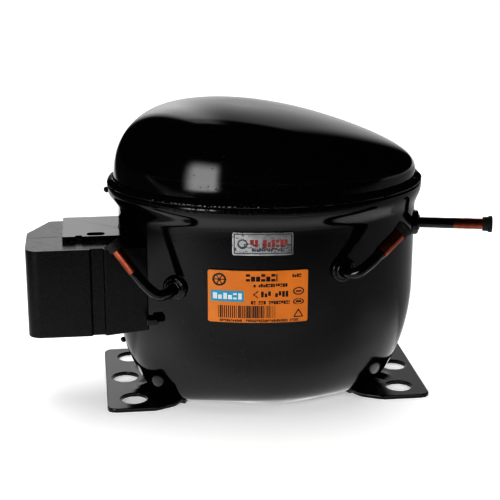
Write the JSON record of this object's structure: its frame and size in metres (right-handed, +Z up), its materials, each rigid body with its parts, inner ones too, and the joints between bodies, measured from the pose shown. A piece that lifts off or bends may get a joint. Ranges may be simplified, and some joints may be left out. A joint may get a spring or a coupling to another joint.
{
  "type": "hermetic reciprocating compressor",
  "caption": "Welded black shell on two sheet feet, with capped tube stubs, an electrical box, and a motor-driven piston pump on springs inside.",
  "frame": {"origin": "under the middle of the bounding box, on the plane of the feet's undersides", "axes": "+X along the long side towards the discharge tube, +Y to the back, away from the label, +Z up"},
  "size_m": [0.2946, 0.1472, 0.184],
  "materials": {
    "shell_paint": "gloss",
    "box_plastic": "satin",
    "copper_tube": "satin",
    "cap_rubber": "matte",
    "label_film": "satin",
    "plate_foil": "satin",
    "terminal_steel": "satin",
    "laminated_steel": "satin",
    "winding_copper": "satin",
    "machined_steel": "polished",
    "spring_steel": "satin",
    "grey_iron": "rough",
    "bearing_bronze": "polished",
    "cast_aluminium": "satin",
    "gasket_fibre": "matte"
  },
  "bodies": {
    "housing": {"lower_shell": "shell_paint", "upper_shell": "shell_paint", "seam_weld": "shell_paint", "left_foot": "shell_paint", "right_foot": "shell_paint", "suction_collar": "shell_paint", "process_collar": "shell_paint", "discharge_collar": "shell_paint", "box_bracket": "shell_paint", "cover_clip": "shell_paint", "terminal_cover": "box_plastic", "terminal_base": "box_plastic", "start_relay": "box_plastic", "overload_protector": "box_plastic", "suction_tube": "copper_tube", "process_tube": "copper_tube", "discharge_tube": "copper_tube", "suction_cap": "cap_rubber", "process_cap": "cap_rubber", "discharge_cap": "cap_rubber", "rating_label": "label_film", "serial_plate": "plate_foil", "hermetic_terminal": "terminal_steel", "terminal_pin_common": "terminal_steel", "terminal_pin_run": "terminal_steel", "terminal_pin_start": "terminal_steel", "earth_screw": "terminal_steel", "suspension_spring_front_left": "spring_steel", "suspension_spring_front_right": "spring_steel", "suspension_spring_back_left": "spring_steel", "suspension_spring_back_right": "spring_steel"},
    "pump": {"cylinder_block": "grey_iron", "main_bearing": "bearing_bronze", "thrust_washer": "bearing_bronze", "stator_core": "laminated_steel", "upper_winding": "winding_copper", "lower_winding": "winding_copper", "stator_bolt_front_left": "machined_steel", "stator_bolt_front_right": "machined_steel", "stator_bolt_back_left": "machined_steel", "stator_bolt_back_right": "machined_steel", "head_gasket": "gasket_fibre", "suction_reed": "machined_steel", "valve_plate": "machined_steel", "discharge_reed": "machined_steel", "cylinder_head": "cast_aluminium", "head_bolt_upper": "machined_steel", "head_bolt_lower": "machined_steel", "suction_muffler": "box_plastic", "discharge_muffler": "grey_iron", "discharge_loop": "copper_tube"},
    "crank": {"crankshaft": "machined_steel", "counterweight": "grey_iron", "rotor": "laminated_steel", "oil_pickup": "machined_steel"},
    "slider": {"slide_block": "bearing_bronze"},
    "carrier": {"yoke_oil_plug": "bearing_bronze"},
    "piston_yoke": {"yoke": "cast_aluminium", "piston": "machined_steel"}
  },
  "joints": [
    {"name": "pump_bounce", "type": "slide", "parent": "housing", "child": "pump", "axis": [0, 0, 1], "range_m": [-0.002, 0.002], "stiffness_N_per_m": 8000, "springref_m": 0.00587, "deforming": ["suspension_spring_front_left", "suspension_spring_front_right", "suspension_spring_back_left", "suspension_spring_back_right"]},
    {"name": "crank_turn", "type": "hinge", "parent": "pump", "child": "crank", "pos_m": [-0.00495, 0.00159, 0.06], "axis": [0, 0, 1], "continuous": true},
    {"name": "slider_turn", "type": "hinge", "parent": "crank", "child": "slider", "pos_m": [0.00485, 0.00159, 0.121], "axis": [0, 0, 1], "continuous": true},
    {"name": "carrier_turn", "type": "hinge", "parent": "crank", "child": "carrier", "pos_m": [-0.00005, 0.00159, 0.135], "axis": [0, 0, 1], "continuous": true},
    {"name": "yoke_turn", "type": "hinge", "parent": "carrier", "child": "piston_yoke", "pos_m": [0.00485, 0.00159, 0.123], "axis": [0, 0, 1], "continuous": true}
  ],
  "couplings": [
    {"joint": "slider_turn", "follows": "crank_turn", "ratio": -1},
    {"joint": "carrier_turn", "follows": "crank_turn", "ratio": -2},
    {"joint": "yoke_turn", "follows": "crank_turn", "ratio": 1}
  ]
}
